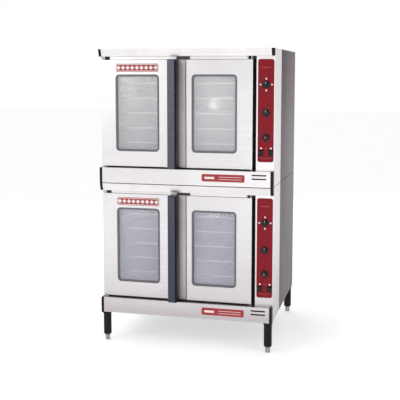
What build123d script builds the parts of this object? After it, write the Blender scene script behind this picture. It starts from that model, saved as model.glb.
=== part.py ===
"""Double-stacked full-size convection oven: two alike sections, one above the other, on four legs.

Each section is a cabinet with a pair of French doors, a tall control panel beside them, a baking
cavity with racks, and a blower behind a baffle. Millimetres, +Z up, the doors face -Y.
Every depth below is measured back from the front plane of the horizontal trims.
"""
import os

from build123d import *

os.makedirs("parts", exist_ok=True)

# --- Overall sizes
width = 972.0
body_depth = 853.0
handle_reach = 28.0  # the handle in front of the trims
cover_depth = 55.0  # the motor cover behind the body
section_height = 738.0
leg_height = 165.0

# --- Front layout of a section
base_height = 88.0
band_height = 40.0
header_height = 17.0
door_floor_gap = 8.0
door_head_gap = 2.0
side_reveal = 4.0
door_split_gap = 3.0
housing_width = 98.0
housing_gap = 20.0
cap_width = 15.0
door_face = 30.0
shell_back = 64.0
door_back = 82.0
frame_face = 88.0
frame_back = 94.0
trim_back = 33.0
band_slope = 12.0

# --- Sheet and running clearances
skin = 2.0
seam = 0.2  # between neighbouring panels
stack_seam = 4.0  # the dark line under each section's panels
pin_radius = 6.0
pin_clearance = 0.1
pin_bore_radius = pin_radius + pin_clearance
pin_inset = 14.0
pin_depth = 44.0
shaft_radius = 4.0
shaft_clearance = 0.1
shaft_bore_radius = shaft_radius + shaft_clearance

# --- Control panel
knob_offset = 3.0
panel_margin = 8.0
panel_edge = 4.0
power_inset = 19.0
light_inset = 14.5

# --- Doors
window_width_share = 0.59
window_height_share = 0.724
window_corner = 22.0
gasket_band = 9.0
right_strip = 59.5
strip_face = 33.0
handle_width = 50.0
handle_overlap = 20.5  # past the left door's free edge
handle_clearance = 0.5
left_strip = handle_width - handle_overlap + handle_clearance
handle_back = 22.0

# --- Cavity
side_insulation = 56.5
floor_insulation = 43.5
roof_allowance = 56.5
cavity_back_allowance = 87.0
plenum = 60.0
guide_count = 11
rack_every = 2
ledge_reach = 16.5
wire_pitch = 24.5

# --- Legs
leg_radius = 22.0
foot_radius = 14.0
foot_height = 35.0
leg_side_inset = 25.0
leg_front = 28.0
leg_back_inset = 28.0

# --- Derived places
half = width / 2
front = handle_reach - (handle_reach + body_depth + cover_depth) / 2
sections = {"lower": leg_height, "upper": leg_height + section_height}
floors = list(sections.values())
header_bottom = section_height - band_height - header_height
door_bottom = base_height + door_floor_gap
door_top = header_bottom - door_head_gap
door_height = door_top - door_bottom
housing_left = half - housing_width
door_left = side_reveal - half
door_right = housing_left - housing_gap
door_width = (door_right - door_left - door_split_gap) / 2
split_left = door_left + door_width
split_right = door_right - door_width
left_pin = door_left + pin_inset
right_pin = door_right - pin_inset
window_width = door_width * window_width_share
window_height = door_height * window_height_share
window_z = door_bottom + door_height * 0.504
cavity_left = skin * 2 - half + side_insulation
cavity_right = 2 * (door_left + door_right) / 2 - cavity_left
cavity_mid = (cavity_left + cavity_right) / 2
cavity_floor = base_height + skin + floor_insulation
cavity_roof = header_bottom - roof_allowance + header_height
cavity_height = cavity_roof - cavity_floor
cavity_back = body_depth - cavity_back_allowance
baffle_face = cavity_back - plenum
guide_pitch = cavity_height / 12.3
fan_z = cavity_floor + cavity_height / 2
control_x = (housing_left + half) / 2 + knob_offset


def slab(x, y, z, mode=Mode.ADD):
    """A box between two values of x, of depth behind the trims, and of z."""
    with Locations(((x[0] + x[1]) / 2, front + (y[0] + y[1]) / 2, (z[0] + z[1]) / 2)):
        Box(x[1] - x[0], y[1] - y[0], z[1] - z[0], mode=mode)


def plate(x, y, z, corner, mode=Mode.ADD):
    """A slab whose four corners, seen from the front, are rounded."""
    with BuildSketch(Plane.XZ.offset(-(front + y[1]))) as face:
        with Locations(((x[0] + x[1]) / 2, (z[0] + z[1]) / 2)):
            RectangleRounded(x[1] - x[0], z[1] - z[0], corner)
    extrude(face.sketch, amount=y[1] - y[0], mode=mode)


def run_x(x, outline, mode=Mode.ADD):
    """An outline of (depth, z) points drawn out sideways between two values of x."""
    with BuildSketch(Plane.YZ.offset(x[0])) as face:
        with BuildLine():
            Polyline([(front + y, z) for y, z in outline], close=True)
        make_face()
    extrude(face.sketch, amount=x[1] - x[0], mode=mode)


def post(x, y, z, radius, mode=Mode.ADD):
    """An upright cylinder."""
    with Locations((x, front + y, (z[0] + z[1]) / 2)):
        Cylinder(radius, z[1] - z[0], mode=mode)


def spindle(x, y, z, radius, mode=Mode.ADD):
    """A cylinder that lies front to back."""
    with Locations((x, front + (y[0] + y[1]) / 2, z)):
        Cylinder(radius, y[1] - y[0], rotation=(90, 0, 0), mode=mode)


def bar_x(x, y, z, radius, mode=Mode.ADD):
    """A cylinder that lies side to side."""
    with Locations(((x[0] + x[1]) / 2, front + y, z)):
        Cylinder(radius, x[1] - x[0], rotation=(0, 90, 0), mode=mode)


def save(builder, name):
    """Label one part and write it."""
    builder.part.label = name
    export_step(builder.part, f"parts/{name}.step")


def grown(pair, by):
    return (pair[0] - by, pair[1] + by)


# --- Cabinet skins
frame_line = frame_back - skin
with BuildPart() as left_side_panels:
    for floor in floors:
        slab((-half, skin - half), (trim_back, body_depth), (floor + stack_seam, floor + section_height))
        notch = (floor + base_height, floor + section_height - band_height)
        slab((-half - 1, skin - half + 1), (trim_back - 1, frame_line), notch, Mode.SUBTRACT)
save(left_side_panels, "left_side_panels")

housing_depth = body_depth * 0.3107
with BuildPart() as right_side_panels:
    for floor in floors:
        edge = (housing_depth + seam, body_depth)
        slab((half - skin, half), edge, (floor + stack_seam, floor + section_height))
save(right_side_panels, "right_side_panels")

inner = (seam + skin - half, half - skin - seam)
with BuildPart() as top_panels:
    for floor in floors:
        top = floor + section_height
        slab(inner, (trim_back + skin + seam, body_depth - skin - seam), (top - skin, top))
save(top_panels, "top_panels")

fan_hole = 92.0
with BuildPart() as back_panels:
    for floor in floors:
        slab(inner, (body_depth - skin, body_depth), (floor + stack_seam, floor + section_height))
        rear = (body_depth - skin - 1, body_depth + 1)
        spindle(cavity_mid, rear, floor + fan_z, fan_hole, Mode.SUBTRACT)
save(back_panels, "back_panels")

cover_half = 200.0
with BuildPart() as motor_covers:
    for floor in floors:
        across = (cavity_mid - cover_half, cavity_mid + cover_half)
        upright = (floor + fan_z - cover_half, floor + fan_z + cover_half)
        plate(across, (body_depth, body_depth + cover_depth), upright, 14)
        hollow = (body_depth - 1, body_depth + cover_depth - skin)
        plate(grown(across, -skin), hollow, grown(upright, -skin), 12, Mode.SUBTRACT)
        for row in range(9):
            slot_z = floor + fan_z - 120 + row * 30
            slot = (cavity_mid - 120, cavity_mid + 120)
            back = (body_depth + cover_depth - 3, body_depth + cover_depth + 1)
            plate(slot, back, (slot_z - 3, slot_z + 3), 2.9, Mode.SUBTRACT)
save(motor_covers, "motor_covers")

# --- Front of the cabinet
with BuildPart() as face_frames:
    for floor in floors:
        tall = (floor + base_height + seam, floor + section_height - band_height - seam)
        depth = (frame_face, frame_back)
        slab((seam + skin - half, cavity_left), depth, tall)
        slab((cavity_right, housing_left - skin), depth, tall)
        between = (cavity_left + seam, cavity_right - seam)
        slab(between, depth, (tall[0], floor + cavity_floor))
        slab(between, depth, (floor + cavity_roof, tall[1]))
save(face_frames, "face_frames")

with BuildPart() as door_gaskets:
    for floor in floors:
        depth = (door_back + seam, frame_face)
        around = (cavity_left - 16, cavity_right + 16)
        upright = (floor + cavity_floor - 16, floor + cavity_roof + 16)
        plate(around, depth, upright, 20)
        hole = (door_back - 1, frame_face + 1)
        plate(grown(around, -10), hole, grown(upright, -10), 12, Mode.SUBTRACT)
save(door_gaskets, "door_gaskets")

between_caps = (cap_width - half, half - cap_width)
with BuildPart() as top_trims:
    for floor in floors:
        top = floor + section_height
        low = top - band_height
        outline = [(0, top), (band_slope, low), (band_slope + 14, low), (band_slope + 14, low + skin)]
        outline += [(band_slope + 1.6, low + skin), (2.6, top - skin)]
        outline += [(trim_back + skin, top - skin), (trim_back + skin, top)]
        run_x(between_caps, outline)
save(top_trims, "top_trims")

louvre = (half - 115.0, half - 37.0)
louvre_heights = [base_height - 20.0, base_height - 40.0]
with BuildPart() as base_trims:
    for floor in floors:
        top = floor + base_height
        low = floor + stack_seam
        outline = [(0, low), (0, top), (trim_back, top), (trim_back, top - skin), (skin, top - skin)]
        outline += [(skin, low + skin), (trim_back, low + skin), (trim_back, low)]
        run_x(between_caps, outline)
        for height in louvre_heights:
            slot_z = floor + height
            slab(louvre, (-1, skin + 1), (slot_z - 4, slot_z + 4), Mode.SUBTRACT)
            hood = [(0.01, slot_z + 4), (9, slot_z - 4), (10.4, slot_z - 3.2), (1.6, slot_z + 4)]
            run_x(louvre, hood)
save(base_trims, "base_trims")

with BuildPart() as trim_end_caps:
    for floor in floors:
        top = floor + section_height - seam
        low = top - band_height
        for side in ((-half, -half + cap_width - seam), (half - cap_width + seam, half)):
            slab(side, (-1, trim_back - 1), (floor, floor + base_height))
            run_x(side, [(-1, top), (band_slope - 1, low), (trim_back - 1, low), (trim_back - 1, top)])
save(trim_end_caps, "trim_end_caps")

left_bracket = (door_left + 4, door_left + 52)
right_bracket = (right_pin - 19, right_pin + 9)
catch = (split_left + 8.5, split_left + 83.5)
with BuildPart() as header_strips:
    for floor in floors:
        low = floor + header_bottom
        high = low + header_height - seam
        outline = [(strip_face, low), (strip_face, high), (strip_face + skin, high)]
        outline += [(strip_face + skin, low + skin), (frame_face - seam, low + skin)]
        outline += [(frame_face - seam, low)]
        run_x((left_bracket[1] + 0.5, catch[0] - 0.5), outline)
        run_x((catch[1] + 0.5, right_bracket[0] - 0.5), outline)
save(header_strips, "header_strips")

with BuildPart() as hinge_brackets:
    for floor in floors:
        tall = (floor + header_bottom - 0.5, floor + header_bottom + header_height - seam)
        for block, pin in ((left_bracket, left_pin), (right_bracket, right_pin)):
            slab(block, (door_face + 1, frame_face - seam), tall)
            post(pin, pin_depth, grown(tall, 1), pin_bore_radius, Mode.SUBTRACT)
            ring = (floor + base_height, floor + base_height + 5)
            post(pin, pin_depth, ring, 12)
            post(pin, pin_depth, grown(ring, 1), pin_bore_radius, Mode.SUBTRACT)
        slab(catch, (door_face + 1, frame_face - seam), tall)
        slab((door_right - 2, housing_left - skin), (strip_face, frame_face - seam), tall)
save(hinge_brackets, "hinge_brackets")

# --- Control housing and its panel
panel = (housing_left + panel_margin, half - panel_edge)
panel_bottom = base_height + 49
panel_face = door_face - skin
knob_heights = {
    "selector": door_bottom + door_height * 0.775,
    "thermostat": door_bottom + door_height * 0.521,
    "timer": door_bottom + door_height * 0.297,
}
rocker_z = panel_bottom + 50
rocker_xs = {"power": panel[0] + power_inset, "light": panel[1] - light_inset}
rocker_half = 11.0
rocker_tall = 13.0
rocker_pivot = 36.0
rocker_pin = 2.0
rocker_hole = (rocker_half + 0.6, 16.9)

with BuildPart() as control_housings:
    for floor in floors:
        tall = (floor + base_height + seam, floor + section_height - band_height - seam)
        slab((housing_left, half), (door_face, housing_depth), tall)
        slab((half - skin, half), (trim_back, housing_depth), (floor + stack_seam, floor + section_height))
        inside = (door_face + skin, housing_depth + 1)
        slab((housing_left + skin, half - skin), inside, grown(tall, 1), Mode.SUBTRACT)
        for height in knob_heights.values():
            face = (door_face - 1, door_face + skin + 1)
            spindle(control_x, face, floor + height, shaft_bore_radius, Mode.SUBTRACT)
        for x in rocker_xs.values():
            hole_x = (x - rocker_hole[0], x + rocker_hole[0])
            hole_z = (floor + rocker_z - rocker_hole[1], floor + rocker_z + rocker_hole[1])
            slab(hole_x, (door_face - 1, door_face + skin + 1), hole_z, Mode.SUBTRACT)
save(control_housings, "control_housings")

with BuildPart() as control_panels:
    for floor in floors:
        plate(panel, (panel_face, door_face), (floor + panel_bottom, floor + header_bottom), 12)
        for height in knob_heights.values():
            face = (panel_face - 1, door_face + 1)
            spindle(control_x, face, floor + height, shaft_bore_radius, Mode.SUBTRACT)
        for x in rocker_xs.values():
            hole_x = (x - rocker_hole[0], x + rocker_hole[0])
            hole_z = (floor + rocker_z - rocker_hole[1], floor + rocker_z + rocker_hole[1])
            slab(hole_x, (panel_face - 1, door_face + 1), hole_z, Mode.SUBTRACT)
save(control_panels, "control_panels")

box_face = door_face + skin + seam
with BuildPart() as switch_bodies:
    for floor in floors:
        for height in knob_heights.values():
            z = floor + height
            slab((control_x - 22, control_x + 22), (box_face, 72), (z - 22, z + 22))
            spindle(control_x, (box_face - 1, 62), z, shaft_bore_radius, Mode.SUBTRACT)
        for x in rocker_xs.values():
            z = floor + rocker_z
            slab((x - 14, x + 14), (box_face, 66), (z - 20, z + 20))
            slab((x - 11.6, x + 11.6), (box_face - 1, 50), (z - 17.4, z + 17.4), Mode.SUBTRACT)
            bar_x((x - 13.6, x + 13.6), rocker_pivot, z, rocker_pin + 0.1, Mode.SUBTRACT)
save(switch_bodies, "switch_bodies")

# --- Cavity
wall = skin
shell_y = (frame_back + seam, cavity_back)
with BuildPart() as cavity_liners:
    for floor in floors:
        tall = (floor + cavity_floor - wall, floor + cavity_roof + wall)
        slab((cavity_left - wall, cavity_left), shell_y, tall)
        slab((cavity_right, cavity_right + wall), shell_y, tall)
        across = (cavity_left + seam, cavity_right - seam)
        slab(across, shell_y, (tall[0], tall[0] + wall))
        slab(across, shell_y, (tall[1] - wall, tall[1]))
        back_z = (tall[0] + wall + seam, tall[1] - wall - seam)
        slab(across, (cavity_back - wall, cavity_back), back_z)
        hole = (cavity_back - wall - 1, cavity_back + 1)
        spindle(cavity_mid, hole, floor + fan_z, 12, Mode.SUBTRACT)
save(cavity_liners, "cavity_liners")

with BuildPart() as insulation:
    for floor in floors:
        tall = (floor + base_height + seam, floor + section_height - band_height)
        depth = (frame_back + seam, cavity_back + 50)
        slab((seam + skin - half, cavity_left - wall - seam), depth, tall)
        slab((cavity_right + wall + seam, housing_left - seam), depth, tall)
        across = (cavity_left - wall, cavity_right + wall)
        slab(across, depth, (tall[0], floor + cavity_floor - wall - seam))
        slab(across, depth, (floor + cavity_roof + wall + seam, tall[1]))
        back_z = (floor + cavity_floor - wall, floor + cavity_roof + wall)
        slab(across, (cavity_back + seam, cavity_back + 50), back_z)
        hole = (cavity_back - 1, cavity_back + 51)
        spindle(cavity_mid, hole, floor + fan_z, 12, Mode.SUBTRACT)
save(insulation, "insulation")

intake = 120.0
with BuildPart() as fan_baffles:
    for floor in floors:
        across = (cavity_left + 22, cavity_right - 22)
        upright = (floor + cavity_floor + 14, floor + cavity_roof - 14)
        plate(across, (baffle_face, baffle_face + wall), upright, 10)
        hole = (baffle_face - 1, baffle_face + wall + 1)
        spindle(cavity_mid, hole, floor + fan_z, intake, Mode.SUBTRACT)
        for arm in (-1, 0, 1):
            x = cavity_mid + arm * intake * 0.45
            tall = (floor + fan_z - intake - 1, floor + fan_z + intake + 1)
            slab((x - 2, x + 2), (baffle_face, baffle_face + wall), tall)
        for arm in (-1, 0, 1):
            z = floor + fan_z + arm * intake * 0.45
            wide = (cavity_mid - intake - 1, cavity_mid + intake + 1)
            slab(wide, (baffle_face, baffle_face + wall), (z - 2, z + 2))
        for side in (-1, 1):
            edge = cavity_mid + side * ((cavity_right - cavity_left) / 2 - 30)
            stay = (baffle_face + wall, cavity_back - wall)
            slab((edge - 6, edge + 6), stay, (floor + fan_z - 60, floor + fan_z + 60))
save(fan_baffles, "fan_baffles")

rack_front = frame_back + 16
rack_back = baffle_face - 16
with BuildPart() as rack_guides:
    for floor in floors:
        for side in (-1, 1):
            wall_x = cavity_mid + side * ((cavity_right - cavity_left) / 2 - seam)
            ledge = sorted((wall_x, wall_x - side * ledge_reach))
            strut = sorted((wall_x, wall_x - side * 5))
            for step in range(1, guide_count + 1):
                z = floor + cavity_floor + step * guide_pitch
                slab(ledge, (rack_front, rack_back), (z - 1.25, z + 1.25))
            for y in (rack_front + 40, rack_back - 40):
                reach = (floor + cavity_floor + 8, floor + cavity_roof - 8)
                slab(strut, (y - 10, y + 10), reach)
save(rack_guides, "rack_guides")

rail = 3.5
rack_half = (cavity_right - cavity_left) / 2 - 9
wire_count = int(2 * (rack_half - rail) / wire_pitch)
with BuildPart() as rack:
    left = cavity_mid - rack_half + rail
    right = cavity_mid + rack_half - rail
    for x in (left, right):
        spindle(x, (rack_front, rack_back), 0, rail)
    for y in (rack_front + rail, (rack_front + rack_back) / 2, rack_back - rail):
        bar_x((left, right), y, 0, rail - 0.4)
    for n in range(1, wire_count):
        x = left + (right - left) * n / wire_count
        spindle(x, (rack_front + 2, rack_back - 2), 0, 2.1)

with BuildPart() as racks:
    for floor in floors:
        for step in range(rack_every, guide_count, rack_every):
            z = floor + cavity_floor + step * guide_pitch + 1.25 + rail
            with Locations((0, 0, z)):
                add(rack.part)
save(racks, "racks")

wheel_radius = min(146.0, cavity_height / 2 - 60)
ring_radius = wheel_radius + 34
with BuildPart() as heating_elements:
    for floor in floors:
        for y, radius in ((baffle_face + 20, ring_radius), (baffle_face + 38, ring_radius - 16)):
            with Locations((cavity_mid, front + y, floor + fan_z)):
                Torus(radius, 4, rotation=(90, 0, 0))
            for side in (-1, 1):
                end = Vector(side * radius, 0, 0).rotate(Axis.Y, -side * 40)
                spindle(cavity_mid + end.X, (y + 4 + seam, cavity_back - wall), floor + fan_z + end.Z, 3)
save(heating_elements, "heating_elements")

with BuildPart() as oven_lamps:
    for floor in floors:
        for side in (-1, 1):
            top = floor + cavity_roof
            post(cavity_mid + side * 200, rack_front + 190, (top - 5, top), 38)
            post(cavity_mid + side * 200, rack_front + 190, (top - 11, top - 4), 32)
save(oven_lamps, "oven_lamps")

# --- Blower
motor_face = cavity_back + 50 + seam
with BuildPart() as blower_motors:
    for floor in floors:
        spindle(cavity_mid, (motor_face, motor_face + 4), floor + fan_z, fan_hole - 4)
        spindle(cavity_mid, (motor_face + 4, body_depth + cover_depth - 10), floor + fan_z, 78)
        spindle(cavity_mid, (motor_face - 1, motor_face + 20), floor + fan_z, 8.1, Mode.SUBTRACT)
save(blower_motors, "blower_motors")

wheel_back = cavity_back - wall - 6
wheel_front = baffle_face + wall + 8
for name, floor in sections.items():
    with BuildPart() as blower_wheel:
        spindle(cavity_mid, (wheel_back - 2, wheel_back), floor + fan_z, wheel_radius)
        spindle(cavity_mid, (wheel_front, wheel_front + 2), floor + fan_z, wheel_radius)
        hole = (wheel_front - 1, wheel_front + 3)
        spindle(cavity_mid, hole, floor + fan_z, wheel_radius - 32, Mode.SUBTRACT)
        with BuildSketch(Plane.XZ.offset(-(front + wheel_back))):
            with Locations((cavity_mid, floor + fan_z)):
                with PolarLocations(wheel_radius - 16, 24):
                    Rectangle(26, 1.6, rotation=24)
        extrude(amount=wheel_back - wheel_front)
        spindle(cavity_mid, (wheel_front, wheel_back), floor + fan_z, 22)
        spindle(cavity_mid, (wheel_front, motor_face + 18), floor + fan_z, 8)
    save(blower_wheel, f"{name}_blower_wheel")

# --- Base frames and legs
with BuildPart() as base_frames:
    for floor in floors:
        depth = (trim_back + seam, body_depth - skin - seam)
        deck = (floor + base_height - 4, floor + base_height)
        slab(inner, depth, deck)
        for pin in (left_pin, right_pin):
            post(pin, pin_depth, grown(deck, 1), pin_bore_radius, Mode.SUBTRACT)
        web = (floor, deck[0] - seam)
        for side in (-1, 1):
            outer = side * (half - skin - seam)
            slab(sorted((outer, outer - side * 4)), depth, web)
            lip = sorted((outer - side * (4 + seam), outer - side * 44))
            slab(lip, depth, (floor, floor + 4))
        cross = (inner[0] + 4 + seam, inner[1] - 4 - seam)
        lift = (floor + 4 + seam, web[1])
        slab(cross, (depth[0], depth[0] + 3), lift)
        slab(cross, (depth[1] - 3, depth[1]), lift)
save(base_frames, "base_frames")

leg_x = half - leg_side_inset
leg_spots = [(x, y) for x in (-leg_x, leg_x) for y in (leg_front, body_depth - leg_back_inset)]
with BuildPart() as legs:
    for x, y in leg_spots:
        post(x, y, (foot_height, leg_height), leg_radius)
        post(x, y, (foot_height - 1, foot_height + 70), 9.1, Mode.SUBTRACT)
    rims = legs.edges().filter_by(GeomType.CIRCLE).group_by(Axis.Z)[0]
    fillet([rim for rim in rims if rim.radius > leg_radius - 1], 3)
save(legs, "legs")

with BuildPart() as leveling_feet:
    for x, y in leg_spots:
        post(x, y, (0, foot_height - 6), foot_radius)
        post(x, y, (foot_height - 7, foot_height), foot_radius - 3)
        post(x, y, (foot_height - 1, foot_height + 60), 9)
    fillet(leveling_feet.edges().filter_by(GeomType.CIRCLE).group_by(Axis.Z)[0], 4)
save(leveling_feet, "leveling_feet")

plate_left = -half + 0.6 * width
with BuildPart() as nameplates:
    for floor in floors:
        across = (plate_left, plate_left + 0.242 * width)
        plate(across, (-1.5, 0), (floor + 28, floor + base_height - 20), 8)
save(nameplates, "nameplates")

# --- Doors
sides = {
    "left": (door_left, split_left, left_pin, 1, left_strip),
    "right": (door_right, split_right, right_pin, -1, right_strip),
}
for section, floor in sections.items():
    for side, (outer, free, pin, way, strip_width) in sides.items():
        name = f"{section}_{side}"
        step = free - way * strip_width
        main_x = sorted((outer, step))
        strip_x = sorted((step, free))
        door_x = sorted((outer, free))
        tall = (floor + door_bottom, floor + door_top)
        centre = outer + way * door_width * 0.4935
        light_x = (centre - window_width / 2, centre + window_width / 2)
        middle = floor + window_z
        light_z = (middle - window_height / 2, middle + window_height / 2)

        with BuildPart() as door_shell:
            slab(main_x, (door_face, shell_back), tall)
            slab(strip_x, (strip_face + skin, shell_back), tall)
            corner = door_shell.edges().filter_by(Axis.Z).group_by(Axis.Y)[0]
            fillet(corner, 1.9)
            inside = sorted((outer + way * skin, step + way * skin))
            slab(inside, (door_face + skin, shell_back + 1), grown(tall, -skin), Mode.SUBTRACT)
            inside = sorted((step, free - way * skin))
            hollow = (strip_face + 2 * skin, shell_back + 1)
            slab(inside, hollow, grown(tall, -skin), Mode.SUBTRACT)
            around = grown(light_x, skin)
            plate(around, (door_face, shell_back - 4), grown(light_z, skin), window_corner + skin)
            cut = (door_face - 1, shell_back)
            plate(light_x, cut, light_z, window_corner, Mode.SUBTRACT)
            post(pin, pin_depth, (tall[1] - skin, tall[1] + 14), pin_radius)
            post(pin, pin_depth, (tall[0] - 22, tall[0] + skin), pin_radius)
        save(door_shell, f"{name}_door_shell")

        with BuildPart() as door_liner:
            reach = (door_x[0] + 8, door_x[1] - 8)
            rise = grown(tall, -8)
            plate(reach, (shell_back, door_back), rise, 10)
            front_half = (shell_back - 1, door_back - skin)
            plate(grown(reach, -skin), front_half, grown(rise, -skin), 8, Mode.SUBTRACT)
            around = grown(light_x, -5)
            upright = grown(light_z, -5)
            plate(around, (shell_back, door_back), upright, window_corner - 5)
            pane_x = grown(around, -skin)
            pane_z = grown(upright, -skin)
            plate(pane_x, (shell_back - 1, 77), pane_z, window_corner - 7, Mode.SUBTRACT)
            lip = (76, door_back + 1)
            plate(grown(pane_x, -3), lip, grown(pane_z, -3), window_corner - 10, Mode.SUBTRACT)
            slab(grown(strip_x, -seam), (strip_face, strip_face + skin), grown(tall, -1))
        save(door_liner, f"{name}_door_liner")

        with BuildPart() as window_glass:
            outer_x = grown(light_x, -gasket_band - 0.1)
            outer_z = grown(light_z, -gasket_band - 0.1)
            plate(outer_x, (34, 39), outer_z, window_corner - gasket_band)
            plate(grown(pane_x, -0.1), (72, 77), grown(pane_z, -0.1), window_corner - 7)
        save(window_glass, f"{name}_window_glass")

        with BuildPart() as window_gasket:
            plate(light_x, (door_face - 1, 42), light_z, window_corner)
            inner_x = grown(light_x, -gasket_band)
            inner_z = grown(light_z, -gasket_band)
            cut = (door_face - 2, 39)
            plate(inner_x, cut, inner_z, window_corner - gasket_band, Mode.SUBTRACT)
            lip = (38, 43)
            radius = window_corner - gasket_band - 3
            plate(grown(inner_x, -3), lip, grown(inner_z, -3), radius, Mode.SUBTRACT)
        save(window_gasket, f"{name}_window_gasket")

    badge_z = floor + door_top - 64
    with BuildPart() as door_badge:
        across = (door_left + 88, door_left + 330)
        plate(across, (door_face - 1.5, door_face), (badge_z, badge_z + 44), 6)
    save(door_badge, f"{section}_door_badge")

    with BuildPart() as handle:
        grip = (split_left + handle_overlap - handle_width, split_left + handle_overlap)
        tall = (floor + door_bottom - 5, floor + door_top + 2)
        slab(grip, (-handle_reach, handle_back), tall)
        long_edges = handle.edges().filter_by(Axis.Z).group_by(Axis.Y)[0]
        fillet(long_edges, 8)
        hollow = (-handle_reach + 3, handle_back + 1)
        slab(grown(grip, -3), hollow, grown(tall, -3), Mode.SUBTRACT)
        for part in (0.08, 0.5, 0.92):
            z = tall[0] + part * (tall[1] - tall[0])
            foot = (grip[0], grip[0] + 22)
            slab(foot, (-handle_reach + 2, strip_face), (z - 12, z + 12))
    save(handle, f"{section}_door_handle")

# --- Knobs and rocker switches
for section, floor in sections.items():
    for control, height in knob_heights.items():
        z = floor + height
        with BuildPart() as knob:
            spindle(control_x, (21, 27), z, 20)
            rim = knob.edges().filter_by(GeomType.CIRCLE).group_by(Axis.Y)[0]
            fillet(rim, 2)
            plate((control_x - 6.5, control_x + 6.5), (6, 22), (z - 18, z + 18), 6)
            spindle(control_x, (26, 60), z, shaft_radius)
        save(knob, f"{section}_{control}_knob")

    for control, x in rocker_xs.items():
        z = floor + rocker_z
        with BuildPart() as rocker:
            outline = [(-9.8, rocker_tall), (-7, 0), (-9.8, -rocker_tall), (6, -9), (6, 9)]
            with BuildSketch(Plane.YZ.offset(x - rocker_half)):
                with Locations((front + rocker_pivot, z)):
                    with BuildSketch(mode=Mode.PRIVATE) as face:
                        with BuildLine():
                            Polyline(outline, close=True)
                        make_face()
                    add(face.sketch, rotation=12)
            extrude(amount=2 * rocker_half)
            bar_x((x - 13.5, x + 13.5), rocker_pivot, z, rocker_pin)
        save(rocker, f"{section}_{control}_rocker")
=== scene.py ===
# %% [markdown]
# # A stacked pair of convection ovens
# The solid model of the oven is already made and arrives as a frame of named nodes. This lesson
# gives those nodes their real finishes and adds the small pieces that a solid model leaves plain:
# knobs, printed dial marks, handle facings, plates and screws. Everything is in metres, with the
# doors facing -Y, so a new piece is built straight at its own place.

# %% Load the frame
import math

import bpy
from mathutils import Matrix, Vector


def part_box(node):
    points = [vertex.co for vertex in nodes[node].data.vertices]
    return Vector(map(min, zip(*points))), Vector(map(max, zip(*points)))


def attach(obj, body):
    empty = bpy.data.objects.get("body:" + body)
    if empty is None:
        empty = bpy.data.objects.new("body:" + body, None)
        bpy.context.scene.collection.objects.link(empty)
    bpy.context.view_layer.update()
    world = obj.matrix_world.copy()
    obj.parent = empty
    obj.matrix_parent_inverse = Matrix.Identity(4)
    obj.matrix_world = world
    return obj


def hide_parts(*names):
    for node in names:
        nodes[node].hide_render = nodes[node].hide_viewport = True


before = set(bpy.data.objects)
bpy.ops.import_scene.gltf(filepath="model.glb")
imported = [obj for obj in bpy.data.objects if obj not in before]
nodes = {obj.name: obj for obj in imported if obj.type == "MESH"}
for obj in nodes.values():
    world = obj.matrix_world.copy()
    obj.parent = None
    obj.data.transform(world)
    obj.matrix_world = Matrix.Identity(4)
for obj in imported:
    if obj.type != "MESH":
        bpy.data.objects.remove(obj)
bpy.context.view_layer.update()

# %% Names that repeat
KNOBS = ("selector", "thermostat", "timer")
SWITCHES = ("power", "light")
MM = 0.001

# %% [markdown]
# ## Camera
# A tall appliance is usually shown from chest height with the back of the camera kept
# nearly upright, so that its sides stay parallel. A small vertical shift does part of that work
# and a slight downward tilt does the rest, which keeps the object centred from other directions.

# %% Camera
camera_data = bpy.data.cameras.new("camera")
camera = bpy.data.objects.new("camera", camera_data)
bpy.context.scene.collection.objects.link(camera)
camera.location = (1.1205, -4.6227, 1.4977)
camera.rotation_euler = (math.radians(90 - 6.55), 0, math.radians(13.86))
camera_data.sensor_width = 36
camera_data.lens = 72.48
camera_data.shift_y = -0.08
bpy.context.scene.camera = camera
bpy.context.scene.view_settings.view_transform = "Standard"
print("lens", camera_data.lens)

# %% [markdown]
# ## Studio
# Brushed steel shows what stands around it, so the room matters more than the lamps. The world is
# bright towards the doors and dim on the control side, which is what makes the front read white
# and the flank read grey. A pale floor carries a soft contact shadow.

# %% World
world = bpy.data.worlds.new("studio")
bpy.context.scene.world = world
world.use_nodes = True
sky = world.node_tree
sky.nodes.clear()
direction = sky.nodes.new("ShaderNodeTexCoord")
axes = sky.nodes.new("ShaderNodeSeparateXYZ")
dimming = sky.nodes.new("ShaderNodeMapRange")
dimming.inputs["From Min"].default_value = -0.1
dimming.inputs["From Max"].default_value = 0.85
dimming.inputs["To Min"].default_value = 0.78
dimming.inputs["To Max"].default_value = 0.22
room = sky.nodes.new("ShaderNodeBackground")
room.inputs["Color"].default_value = (1.0, 0.985, 0.99, 1)
backdrop = sky.nodes.new("ShaderNodeBackground")
backdrop.inputs["Color"].default_value = (1, 1, 1, 1)
backdrop.inputs["Strength"].default_value = 1.0
seen = sky.nodes.new("ShaderNodeLightPath")
either = sky.nodes.new("ShaderNodeMixShader")
world_out = sky.nodes.new("ShaderNodeOutputWorld")
sky.links.new(direction.outputs["Generated"], axes.inputs[0])
sky.links.new(axes.outputs["X"], dimming.inputs["Value"])
behind = sky.nodes.new("ShaderNodeMapRange")
behind.inputs["From Min"].default_value = 0.3
behind.inputs["From Max"].default_value = 0.95
behind.inputs["To Min"].default_value = 1.0
behind.inputs["To Max"].default_value = 0.55
sky.links.new(axes.outputs["Y"], behind.inputs["Value"])
strength = sky.nodes.new("ShaderNodeMath")
strength.operation = "MULTIPLY"
sky.links.new(dimming.outputs["Result"], strength.inputs[0])
sky.links.new(behind.outputs["Result"], strength.inputs[1])
sky.links.new(strength.outputs[0], room.inputs["Strength"])
sky.links.new(seen.outputs["Is Camera Ray"], either.inputs["Fac"])
sky.links.new(room.outputs[0], either.inputs[1])
sky.links.new(backdrop.outputs[0], either.inputs[2])
sky.links.new(either.outputs[0], world_out.inputs["Surface"])


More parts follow.
